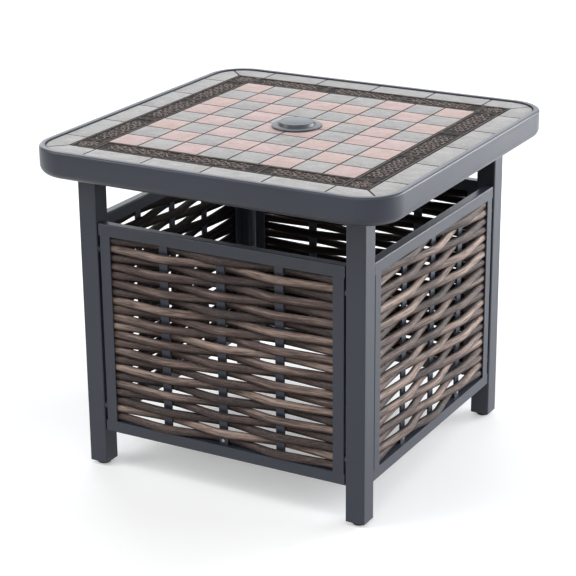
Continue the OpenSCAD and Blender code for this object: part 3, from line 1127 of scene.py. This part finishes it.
@dataclass
class MosaicTop:
    """The tile fields: every tile gets rubbed edges, its own shade and a hair of tilt.

    Attributes:
        frame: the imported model.
        edge: how far the tiles' upper edges are rubbed.
        edge_steps: pieces in that rounding.
        tilt_deg: the most that a tile leans along x or y.
        smooth_deg: angle up to which edges are smooth.
        seed: start of each field's random numbers.
        fields: each field's node and slot.
    """

    frame: Frame
    edge: float = 0.9 * MM
    edge_steps: int = 3
    tilt_deg: float = 0.12
    smooth_deg: float = 50.0
    seed: int = 7
    fields: tuple[tuple[str, Slot], ...] = (
        ("border_tiles", Slot.LIGHT_TILE),
        ("pink_tiles", Slot.PINK_TILE),
        ("grey_tiles", Slot.GREY_TILE),
    )

    def shade(self, tiles: Piece) -> None:
        """Gives each tile a shade and a slight tilt of its own.

        Args:
            tiles: the tiles in one mesh.
        """
        source = random.Random(self.seed)
        parts = loose_parts(tiles)
        shades = [source.random() for _ in parts]
        leans_x = [source.uniform(-1, 1) for _ in parts]
        leans_y = [source.uniform(-1, 1) for _ in parts]
        lean = math.tan(math.radians(self.tilt_deg))
        values = [0.0] * len(tiles.data.vertices)
        for (numbers, centre), shade, lean_x, lean_y in zip(parts, shades, leans_x, leans_y):
            for number in numbers:
                place = tiles.data.vertices[number].co
                place.z += lean * (lean_x * (place.x - centre.x) + lean_y * (place.y - centre.y))
                values[number] = shade
        store(tiles, "tile_shade", values)

    def build(self, finishes: Finishes) -> None:
        """Makes the plain tile fields.

        Args:
            finishes: materials by slot.
        """
        for node, slot in self.fields:
            tiles = clean_copy(self.frame["nodes"][node], f"{node}_rubbed")
            rub_edges(tiles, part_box(node)[1].z, self.edge, self.edge_steps)
            self.shade(tiles)
            outward(tiles, self.smooth_deg)
            stand_in(tiles, node, slot, finishes)


@dataclass
class ReliefBand:
    """The dark band: tiles with a raised border round a sunk field that carries a running scroll.

    The ornament's lines, its pitch, reach and swings are in millimetres about a tile's centre.

    Attributes:
        frame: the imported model.
        rounding: how far the tiles' upper edges are rounded.
        rounding_steps: pieces in that rounding.
        smooth_deg: angle up to which edges are smooth.
        sink: depth of the ornament's middle under the tiles' top.
        wire: radius of the ornament's bead before it is flattened.
        squeeze: the bead's height as a share of its width.
        tip: thickness of an open line's end, as a share.
        tip_share: the share of an open line that gets thinner.
        edge_share: how much the tiles' own edges are rubbed, where the ornament's share is 1.
        tile_half: half of a long tile's length.
        band_mid: distance from the table's middle to the band's.
        pitch: half a wave of the stems.
        reach: half of the stems' length.
        swings: how far each stem swings across the tile.
        stem_steps: pieces in a stem.
    """

    frame: Frame
    rounding: float = 0.5 * MM
    rounding_steps: int = 2
    smooth_deg: float = 40.0
    sink: float = 1.1 * MM
    wire: float = 1.35 * MM
    squeeze: float = 0.75
    tip: float = 0.45
    tip_share: float = 0.25
    edge_share: float = 0.42
    tile_half: float = 66.67 * MM
    band_mid: float = 220.0 * MM
    pitch: float = 15.6
    reach: float = 62.0
    swings: Plan = (7.4, -4.588)
    stem_steps: int = 60

    def beads(self, name: str, lines: Sequence[Line]) -> Piece:
        """Sweeps a round bead along lines. An open line's bead gets thinner towards its end.

        Args:
            name: the new object's name.
            lines: points, and whether each line is closed.

        Returns:
            The beads as one mesh, flattened.
        """
        clear_selection()
        bpy.ops.curve.primitive_nurbs_path_add(location=(0, 0, 0))
        path = bpy.context.object
        path.name = name
        path.data.splines.clear()
        for points, closed in lines:
            spline = path.data.splines.new("POLY")
            spline.points.add(len(points) - 1)
            thinnest = 1.0 if closed else self.tip
            for i, (target, (u, v)) in enumerate(zip(spline.points, points)):
                left = 1 - i / (len(points) - 1)
                target.co = (u * MM, v * MM, 0, 1)
                target.radius = thinnest + (1 - thinnest) * min(1.0, left / self.tip_share)
            spline.use_cyclic_u = closed
        path.data.dimensions = "3D"
        path.data.bevel_depth = self.wire
        path.data.bevel_resolution = 1
        path.data.use_fill_caps = True
        pick(path)
        bpy.ops.object.convert(target="MESH")
        flattened = moved(bpy.context.object, Matrix.Diagonal((1, 1, self.squeeze, 1)))
        store(flattened, "relief_share", [1.0] * len(flattened.data.vertices))
        return flattened

    @staticmethod
    def bay() -> list[Line]:
        """One half wave's branches on the scroll: three curls, a leaf and a bud.

        Returns:
            Their lines about the half wave's middle.
        """
        return [
            spiral((0.0, -1.2), radius=5.4, start=90.0, turns=-1.2, steps=22),
            spiral((4.4, 9.6), radius=3.0, start=200.0, turns=0.75, steps=10),
            spiral((-5.4, -11.0), radius=2.6, start=20.0, turns=0.7, steps=10),
            oval((5.6, -10.4), half_u=2.5, half_v=1.2, steps=8),
            oval((-4.6, 10.8), half_u=1.3, half_v=1.3, steps=7),
        ]

    def scroll_lines(self) -> list[Line]:
        """The long tile's ornament: two crossing stems, with a bay of branches at each half wave.

        Returns:
            Its lines.
        """
        along = [self.reach * (2 * i / self.stem_steps - 1) for i in range(self.stem_steps + 1)]
        lines: list[Line] = []
        for swing in self.swings:
            lines.append(([(u, swing * math.sin(math.pi * u / self.pitch)) for u in along], False))
        count = int(self.reach // self.pitch)
        for k in range(-count, count):
            hand = 1 if k % 2 == 0 else -1
            lines += [shifted(line, (k + 0.5) * self.pitch, hand) for line in self.bay()]
        return lines

    @staticmethod
    def rosette_lines() -> list[Line]:
        """The corner tile's ornament: a ring, four petals and four curls.

        Returns:
            Its lines.
        """
        lines = [oval((0.0, 0.0), half_u=4.2, half_v=4.2, steps=18)]
        petal = oval((9.2, 0.0), half_u=4.6, half_v=2.3, steps=14)
        curl = spiral((11.0, 0.0), radius=3.4, start=180.0, turns=1.1, steps=14)
        for degrees in (0, 90, 180, 270):
            lines += [turned(petal, degrees + 45), turned(curl, degrees)]
        return lines

    def build(self, finishes: Finishes) -> None:
        """Makes the band's tiles with their ornament.

        Args:
            finishes: materials by slot.
        """
        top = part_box("relief_tiles")[1].z
        tiles = clean_copy(self.frame["nodes"]["relief_tiles"], "relief_tiles_carved")
        rub_edges(tiles, top, self.rounding, self.rounding_steps)
        store(tiles, "relief_share", [self.edge_share] * len(tiles.data.vertices))
        scroll = self.beads("long_scroll", self.scroll_lines())
        rosette = self.beads("corner_rosette", self.rosette_lines())
        pieces = [tiles]
        level = Matrix.Translation((0, 0, top - self.sink))
        for side in Side:
            for k in (-1, 0, 1):
                place = side.turn @ Matrix.Translation((2 * k * self.tile_half, -self.band_mid, 0))
                if k:
                    place = place @ Matrix.Rotation(math.pi, 4, "Z")
                pieces.append(twin(scroll, f"scroll_{side.label}_{k + 1}", level @ place))
            corner = side.turn @ Matrix.Translation((self.band_mid, -self.band_mid, 0))
            pieces.append(twin(rosette, f"rosette_{side.label}", level @ corner))
        for master in (scroll, rosette):
            bpy.data.objects.remove(master)
        band = join(pieces, "relief_tiles_carved", self.smooth_deg)
        stand_in(band, "relief_tiles", Slot.DARK_TILE, finishes)


@dataclass
class BentRim:
    """The rim as one sheet bent to its section and swept round the square top.

    Attributes:
        half: half of its width.
        corner: its outer radius at the corners.
        low: height of its lower edge.
        high: height of its flat top.
        face: distance from its outside to its inner wall.
        skin: thickness of the sheet.
        roll: radius of the rolled lower edge.
        crown: radius of the upper outer edge.
        inner: radius of the upper inner edge.
        lap: how far the top laps over the outer joint.
        lap_drop: depth under the top where the lap starts to slant back to the wall.
        wall_drop: depth under the top where it meets the wall.
        ledge: width of the ledge under the board.
        ledge_z: height of the ledge's underside.
        corner_steps: pieces in a corner.
        smooth_deg: angle up to which edges are smooth.
    """

    half: float = 288.0 * MM
    corner: float = 60.0 * MM
    low: float = 463.0 * MM
    high: float = 505.0 * MM
    face: float = 8.0 * MM
    skin: float = 2.0 * MM
    roll: float = 14.0 * MM
    crown: float = 3.4 * MM
    inner: float = 0.6 * MM
    lap: float = 1.2 * MM
    lap_drop: float = 1.6 * MM
    wall_drop: float = 2.8 * MM
    ledge: float = 14.0 * MM
    ledge_z: float = 487.0 * MM
    corner_steps: int = 20
    smooth_deg: float = 28.0

    def section(self) -> list[Plan]:
        """The sheet's closed section.

        Returns:
            For each point, its distance outwards from a corner's centre, and its height.
        """
        out, low, high, skin = self.corner, self.low, self.high, self.skin
        wall = out - self.face
        lapped = wall - self.lap
        lip = wall - skin - self.ledge
        roll_at = (out - self.roll, low + self.roll)
        crown_at = (out - self.crown, high - self.crown)
        points = [(lip, low)]
        points += arc(roll_at, self.roll, -90, 0, steps=10)
        points += arc(crown_at, self.crown, 0, 90, steps=8)
        points += arc((lapped + self.inner, high - self.inner), self.inner, 90, 180, steps=3)
        points += [(lapped, high - self.lap_drop), (wall, high - self.wall_drop)]
        points += [(wall, self.ledge_z + skin), (wall - self.ledge, self.ledge_z + skin)]
        points += [(wall - self.ledge, self.ledge_z), (wall + skin, self.ledge_z)]
        points += [(wall + skin, high - skin)]
        points += arc(crown_at, self.crown - skin, 90, 0, steps=5)
        points += arc(roll_at, self.roll - skin, 0, -90, steps=8)
        points += [(lip, low + skin)]
        return points

    def build(self, finishes: Finishes) -> None:
        """Makes the rim.

        Args:
            finishes: materials by slot.
        """
        straight = self.half - self.corner
        start = [(straight + x, -straight, z) for x, z in self.section()]
        rim = drawn("rim_bent", start, closed=True)
        with editing(rim):
            bpy.ops.mesh.select_all(action="SELECT")
            for k in range(4):
                quarter = Matrix.Rotation(k * math.pi / 2, 3, "Z")
                run = tuple(quarter @ Vector((0, 2 * straight, 0)))
                centre = tuple(quarter @ Vector((straight, straight, 0)))
                bpy.ops.mesh.extrude_region_move(TRANSFORM_OT_translate={"value": run})
                bpy.ops.mesh.spin(
                    steps=self.corner_steps, angle=math.pi / 2, center=centre, axis=(0, 0, -1)
                )
        outward(rim, self.smooth_deg)
        stand_in(rim, "top_rim", Slot.FRAME_METAL, finishes)


@dataclass
class HolePlug:
    """The lift-out plug: a thin disc with a stepped, grooved centre and a hollow spigot.

    All but the deck is in millimetres, and heights are over the deck.

    Attributes:
        deck: height of the tiles' faces.
        disc: radius of the disc.
        disc_round: radius of the disc's edge.
        disc_mid: height of the middle of that edge.
        gap: height of the disc's underside.
        centre: radius of the raised centre at its foot.
        taper: how much narrower the centre is at its shoulder.
        crown: height of the centre's top.
        shoulder_round: radius of the centre's upper edge.
        groove_at: distance of the fine groove from the shoulder.
        groove_half: half of the groove's width.
        groove_deep: depth of the groove.
        moat_floor: height of the floor of the moat round the centre.
        moat: the moat's points, outwards from the centre's foot and upwards from its floor.
        recess: radius of the recess over the sleeve's flange.
        recess_top: height of that recess.
        spigot: radius of the spigot.
        spigot_low: height of the spigot's lower end.
        chamfer: size of the chamfer there.
        bore: radius of the hollow in the spigot.
        bore_top: height of that hollow's top.
        steps: pieces round the axis.
    """

    deck: float = 503.0 * MM
    disc: float = 37.5
    disc_round: float = 1.2
    disc_mid: float = 1.65
    gap: float = 0.3
    centre: float = 27.8
    taper: float = 1.5
    crown: float = 8.0
    shoulder_round: float = 1.8
    groove_at: float = 4.4
    groove_half: float = 0.5
    groove_deep: float = 0.14
    moat_floor: float = 2.9
    moat: tuple[Plan, ...] = ((-0.25, 0.7), (0.0, 0.1), (0.2, 0.0), (1.1, 0.0), (1.5, 0.55))
    recess: float = 33.9
    recess_top: float = 1.5
    spigot: float = 22.6
    spigot_low: float = -13.0
    chamfer: float = 0.6
    bore: float = 20.6
    bore_top: float = 5.8
    steps: int = 96

    def section(self) -> list[Plan]:
        """The plug's section.

        Returns:
            Radius and height of each point, from the top pole to the lower one.
        """
        shoulder = self.centre - self.taper
        groove = shoulder - self.groove_at
        points = [
            (0.0, self.crown),
            (groove - self.groove_half, self.crown),
            (groove, self.crown - self.groove_deep),
            (groove + self.groove_half, self.crown),
        ]
        round_at = (shoulder - self.shoulder_round, self.crown - self.shoulder_round)
        points += arc(round_at, self.shoulder_round, 90, 20, steps=6)
        points += [(self.centre + r, self.moat_floor + z) for r, z in self.moat]
        disc_at = self.disc - self.disc_round
        points += arc((disc_at, self.disc_mid), self.disc_round, 82, -70, steps=8)
        points += [(disc_at, self.gap), (self.recess + 0.1, self.gap), (self.recess, self.gap + 0.1)]
        points += [(self.recess, self.recess_top), (self.spigot, self.recess_top)]
        points += [(self.spigot, self.spigot_low + self.chamfer)]
        points += [(self.spigot - self.chamfer, self.spigot_low), (self.bore, self.spigot_low)]
        points += [(self.bore, self.bore_top), (0.0, self.bore_top)]
        return points

    def build(self, finishes: Finishes) -> None:
        """Makes the plug.

        Args:
            finishes: materials by slot.
        """
        section = [(r * MM, self.deck + z * MM) for r, z in self.section()]
        plug = lathe("plug_turned", section, self.steps)
        stand_in(plug, "hole_plug", Slot.PLUG_PLASTIC, finishes, body="plug")


def share_of(value: float, start: float, full: float) -> float:
    """How far a value has come from start to full, from 0 to 1."""
    return min(1.0, max(0.0, (value - start) / (full - start)))


@dataclass
class WovenPanel:
    """One panel's reeds, each a round rod bent in waves round three stakes.

    Attributes:
        side: the panel's side.
        seed: start of the panel's random numbers.
        reed: half of a reed's thickness.
        tall: a reed's height as a share of its thickness.
        fullness: how much taller it is where it is bent furthest.
        sway: how far it swings to each side of the middle plane.
        stake_pitch: distance between stakes.
        open_half: half of the opening between the stiles.
        end: half of a reed's length.
        end_round: how far the inner ring on its end lies from its rim.
        contact: how far to each side of a stake it is bent.
        mid_plane: distance from the table's middle to the weave's.
        low: lowest point of the weave.
        high: highest point of the weave.
        gap: room above the first reed and below the last.
        swell: how much a reed's thickness comes and goes, as a share.
        thinning: how much thinner it is in all, as a share.
        stray: how far it strays up and down.
        stray_from: distance from the stiles where it strays in full.
        count: number of reeds.
        cuts: cuts across a reed.
        sides: sides of a reed.
        smooth_deg: angle up to which edges are smooth.
        cover_inner: share of the light kept from a reed's inner side, painted into its colour as shade.
        cover_under: share of the light kept from its lower side, painted as shade.
        cover_over: share of the light kept from its upper side, painted as shade.
        cover_behind: share of the light kept from where it runs behind a stake, painted as shade.
    """

    side: Side
    seed: int
    reed: float = 5.45 * MM
    tall: float = 6.45 / 5.45
    fullness: float = 0.07
    sway: float = 7.05 * MM
    stake_pitch: float = 95.0 * MM
    open_half: float = 182.3 * MM
    end: float = 192.2 * MM
    end_round: float = 0.9 * MM
    contact: float = 19.0 * MM
    mid_plane: float = 224.5 * MM
    low: float = 78.0 * MM
    high: float = 370.0 * MM
    gap: float = 0.3 * MM
    swell: float = 0.022
    thinning: float = 0.004
    stray: float = 0.34 * MM
    stray_from: float = 30.0 * MM
    count: int = 22
    cuts: int = 54
    sides: int = 14
    smooth_deg: float = 50.0
    cover_inner: float = 0.93
    cover_under: float = 0.87
    cover_over: float = 0.42
    cover_behind: float = 0.22

    def master(self) -> Piece:
        """Makes a straight rod along X, cut across into short lengths.

        Returns:
            The rod, from which the reeds are copied.
        """
        clear_selection()
        bpy.ops.mesh.primitive_cylinder_add(
            vertices=self.sides, radius=self.reed, depth=2 * self.end, rotation=(0, math.pi / 2, 0)
        )
        rod = bpy.context.object
        rod.name = "reed_master"
        settle(rod)
        with editing(rod, Element.EDGE):
            choose(rod, Element.EDGE, lambda e: abs(e.verts[0].co.x - e.verts[1].co.x) > self.end)
            bpy.ops.mesh.subdivide(number_cuts=self.cuts)
        with editing(rod, Element.FACE):
            choose(rod, Element.FACE, lambda f: abs(f.normal.x) > 0.9)
            bpy.ops.mesh.inset(thickness=self.end_round, depth=0.0, use_individual=True)
        return rod

    def bend(self, x: float) -> float:
        """Depth of a reed's centre line, from -1 to 1 of the sway, with +1 at the middle stake.

        The reed is bent over each stake and runs nearly straight from one to the next.

        Args:
            x: distance from the panel's middle.

        Returns:
            The share of the sway.
        """

        def fall(distance: float, span: float, drop: float) -> float:
            """How far the line has come down from a stake.

            Args:
                distance: how far along it is from the stake.
                span: distance to where the drop is full.
                drop: the full drop.

            Returns:
                The drop there.
            """
            slope = drop / (span - self.contact)
            if distance < self.contact:
                return slope * distance * distance / (2 * self.contact)
            return slope * (distance - self.contact / 2)

        x = abs(x)
        pitch = self.stake_pitch
        if x <= pitch / 2:
            return 1 - fall(x, pitch, 2.0)
        if x <= pitch:
            return fall(pitch - x, pitch, 2.0) - 1
        return min(0.0, fall(x - pitch, self.open_half - pitch, 1.0) - 1)

    def hidden(self, inward: float, up: float, depth: float) -> float:
        """How much painted shade a point on a reed gets, for the light kept from it.

        Args:
            inward: its distance from the reed's axis towards the inside, in radii.
            up: its height over the axis, in radii.
            depth: the reed's place in the weave, from -1 in front to 1 behind.

        Returns:
            The share of painted shade, from 0 to 1.
        """
        covers = (
            self.cover_inner * share_of(1.1 * inward, -0.15, 0.85),
            self.cover_under * share_of(-up, 0.20, 0.95),
            self.cover_over * share_of(up, 0.75, 1.0),
            self.cover_behind * (0.5 + 0.5 * depth),
        )
        return 1 - math.prod(1 - cover for cover in covers)

    def woven(self, rod: Piece, index: int, source: random.Random) -> Piece:
        """Copies the rod, bends it and gives it its own thickness, drift, tone and painted shade.

        Args:
            rod: the straight rod.
            index: its place from the top.
            source: the panel's random numbers.

        Returns:
            The bent reed in the front panel's place.
        """
        pitch = (self.high - self.low - 2 * self.gap) / self.count
        z = self.high - self.gap - (index + 0.5) * pitch
        first_in_front = self.side in (Side.FRONT, Side.BACK)
        hand = -1 if (index % 2 == 0) == first_in_front else 1
        reed = twin(rod, f"reed_{self.side.label}_{index}")
        # Four waves are drawn, of which the last two are spare
        waves = [(source.uniform(0, math.tau), source.uniform(9, 26)) for _ in range(4)]
        (swell_at, swell_rate), (stray_at, stray_rate) = waves[:2]
        girth = source.uniform(0.98, 1.0)
        shift = source.uniform(0, 50)
        turn = source.uniform(0, math.tau)
        tone = min(0.95, max(0.05, source.gauss(0.45, 0.31)))
        runs: list[float] = []
        hidden: list[float] = []
        for vert in reed.data.vertices:
            x, y, w = vert.co
            angle = math.atan2(w, y) + turn
            runs += [x + shift, math.cos(angle), math.sin(angle)]
            bend = self.bend(x)
            # Painted shade, stored for the finish to darken the reed's inner, lower and upper sides and its
            # parts behind the stakes
            hidden.append(self.hidden(y / self.reed, w / self.reed, hand * bend))
            thick = girth * (1 + self.swell * math.sin(swell_at + swell_rate * 2 * x) - self.thinning)
            tall = self.tall * thick * (1 + self.fullness * bend**2)
            free = share_of(self.open_half - abs(x), 0.0, self.stray_from)
            rise = self.stray * free * math.sin(stray_at + stray_rate * x)
            vert.co = (x, y * thick + self.sway * hand * bend, w * tall + z + rise)
        store(reed, "reed_run", runs)
        store(reed, "reed_hidden", hidden)
        store(reed, "reed_tone", [tone] * len(hidden))
        return moved(reed, Matrix.Translation((0, -self.mid_plane, 0)))

    def build(self, finishes: Finishes) -> None:
        """Makes the panel's reeds.

        Args:
            finishes: materials by slot.
        """
        source = random.Random(self.seed)
        rod = self.master()
        reeds = [self.woven(rod, k, source) for k in range(self.count)]
        bpy.data.objects.remove(rod)
        whole = join(reeds, f"reeds_{self.side.label}_woven", self.smooth_deg)
        moved(whole, self.side.turn)
        stand_in(whole, f"panel_{self.side.label}_reeds", Slot.REED, finishes)


def main() -> None:
    """Builds the studio and the table in order."""
    logging.basicConfig(level=logging.INFO, format="%(name)s: %(message)s")
    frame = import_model()
    Studio().build()
    finishes = all_finishes()
    CarriedParts(frame).build(finishes)
    MosaicTop(frame).build(finishes)
    ReliefBand(frame).build(finishes)
    BentRim().build(finishes)
    HolePlug().build(finishes)
    for number, side in enumerate(Side):
        WovenPanel(side, seed=21 + number).build(finishes)
    clear_selection()


if __name__ == "__main__":
    main()
